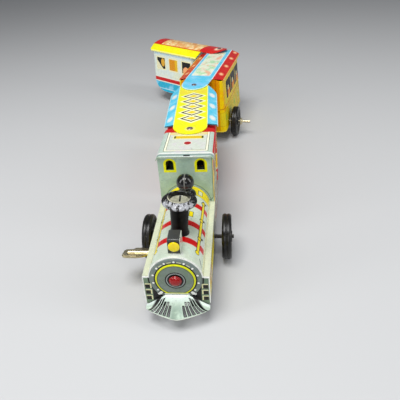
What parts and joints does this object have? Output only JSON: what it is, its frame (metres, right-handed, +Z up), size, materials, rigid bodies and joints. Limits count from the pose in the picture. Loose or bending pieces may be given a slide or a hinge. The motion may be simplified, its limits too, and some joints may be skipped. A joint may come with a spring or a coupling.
{
  "type": "wind-up tin toy train",
  "caption": "Clockwork tin steam locomotive with chimney, dome, cab and winding key, leading tin cars pinned on by their roof tongues.",
  "frame": {"origin": "centre of the whole train's box on the surface that the wheels stand on", "axes": "+Z up; the locomotive points along -Y and the cars trail towards +Y; +X is the locomotive's left-hand side and -X, where the winding key sticks out, is its right-hand side"},
  "size_m": [0.1238, 0.4316, 0.0745],
  "materials": {
    "footplate_tin": "lithographed tinplate, glossy",
    "boiler_tin": "lithographed tinplate, glossy",
    "front_plate_tin": "lithographed tinplate, glossy",
    "cab_tin": "lithographed tinplate, glossy",
    "cab_roof_tin": "lithographed tinplate, glossy",
    "lamp_yellow": "lithographed tinplate, glossy",
    "jewel_red": "moulded, polished, translucent",
    "black_tin": "gloss black enamel",
    "plain_steel": "bare tinned sheet and drawn wire",
    "spring_steel": "blued spring strip",
    "rivet_steel": "plated, dulled",
    "gear_brass": "stamped, unpolished",
    "key_nickel": "nickel plate, warm with age",
    "car1_roof_tin": "lithographed tinplate, glossy",
    "car1_side_tin": "lithographed tinplate, glossy",
    "car2_roof_tin": "lithographed tinplate, glossy",
    "car2_side_tin": "lithographed tinplate, glossy",
    "car3_roof_tin": "lithographed tinplate, glossy",
    "car3_side_tin": "lithographed tinplate, glossy"
  },
  "bodies": {
    "locomotive": {"footplate": "footplate_tin", "boiler_shell": "boiler_tin", "front_plate": "front_plate_tin", "smokebox_jewel": "jewel_red", "cowcatcher": "front_plate_tin", "base_plate": "plain_steel", "cab_shell": "cab_tin", "cab_roof": "cab_roof_tin", "headlamp": "lamp_yellow", "headlamp_lens": "jewel_red", "chimney_stem": "black_tin", "chimney_crown": "black_tin", "dome_left": "black_tin", "dome_right": "black_tin", "front_bracket": "plain_steel", "motor_plate_left": "plain_steel", "motor_plate_right": "plain_steel", "motor_pillar_front": "plain_steel", "motor_pillar_top": "plain_steel", "motor_pillar_rear": "plain_steel", "mainspring": "spring_steel"},
    "leading_wheelset": {"front_axle": "plain_steel", "front_wheel_left": "black_tin", "front_wheel_right": "black_tin"},
    "driving_wheelset": {"drive_axle": "plain_steel", "drive_pinion": "gear_brass", "drive_wheel_left": "black_tin", "drive_wheel_right": "black_tin"},
    "intermediate_gear": {"intermediate_arbor": "plain_steel", "intermediate_pinion": "gear_brass", "intermediate_wheel": "gear_brass"},
    "great_gear": {"great_wheel": "gear_brass", "click": "plain_steel"},
    "winding_key_and_arbor": {"winding_arbor": "plain_steel", "ratchet_wheel": "plain_steel", "winding_key": "key_nickel"},
    "car1": {"car1_roof": "car1_roof_tin", "car1_body": "car1_side_tin", "coupling_rivet_1": "rivet_steel"},
    "car2": {"car2_roof": "car2_roof_tin", "car2_body": "car2_side_tin", "car2_floor": "plain_steel", "coupling_rivet_2": "rivet_steel"},
    "car2_wheelset": {"car2_axle": "plain_steel", "car2_wheel_left": "black_tin", "car2_wheel_right": "black_tin"},
    "car3": {"car3_roof": "car3_roof_tin", "car3_body": "car3_side_tin", "car3_floor": "plain_steel", "coupling_rivet_3": "rivet_steel"},
    "car3_wheelset": {"car3_axle": "plain_steel", "car3_wheel_left": "black_tin", "car3_wheel_right": "black_tin"}
  },
  "joints": [
    {"name": "leading_axle_turn", "type": "hinge", "parent": "locomotive", "child": "leading_wheelset", "pos_m": [0.01296, -0.18678, 0.0062], "axis": [1, 0, 0], "continuous": true},
    {"name": "driving_axle_turn", "type": "hinge", "parent": "locomotive", "child": "driving_wheelset", "pos_m": [0.01296, -0.14598, 0.0156], "axis": [1, 0, 0], "continuous": true},
    {"name": "intermediate_turn", "type": "hinge", "parent": "locomotive", "child": "intermediate_gear", "pos_m": [0.01296, -0.15618, 0.02687], "axis": [1, 0, 0], "continuous": true},
    {"name": "great_wheel_turn", "type": "hinge", "parent": "locomotive", "child": "great_gear", "pos_m": [0.01296, -0.17248, 0.0228], "axis": [1, 0, 0], "continuous": true},
    {"name": "winding_key_turn", "type": "hinge", "parent": "locomotive", "child": "winding_key_and_arbor", "pos_m": [0.01296, -0.17248, 0.0228], "axis": [1, 0, 0], "continuous": true},
    {"name": "coupling_1_swing", "type": "hinge", "parent": "locomotive", "child": "car1", "pos_m": [0.01296, -0.08548, 0.069], "axis": [0, 0, 1], "range_deg": [-20, 14]},
    {"name": "coupling_2_swing", "type": "hinge", "parent": "car1", "child": "car2", "pos_m": [0.00807, 0.0146, 0.0699], "axis": [0, 0, 1], "range_deg": [-27, 50]},
    {"name": "car2_axle_turn", "type": "hinge", "parent": "car2", "child": "car2_wheelset", "pos_m": [0.01614, 0.06334, 0.0156], "axis": [0.9866, -0.1633, 0], "continuous": true},
    {"name": "coupling_3_swing", "type": "hinge", "parent": "car2", "child": "car3", "pos_m": [0.02809, 0.13555, 0.0708], "axis": [0, 0, 1], "range_deg": [-120, 7]},
    {"name": "car3_axle_turn", "type": "hinge", "parent": "car3", "child": "car3_wheelset", "pos_m": [-0.01174, 0.16898, 0.0088], "axis": [0.6428, 0.766, 0], "continuous": true}
  ],
  "couplings": [
    {"joint": "intermediate_turn", "follows": "driving_axle_turn", "ratio": -0.35714},
    {"joint": "great_wheel_turn", "follows": "driving_axle_turn", "ratio": 0.11161},
    {"joint": "winding_key_turn", "follows": "driving_axle_turn", "ratio": 0.11161}
  ]
}
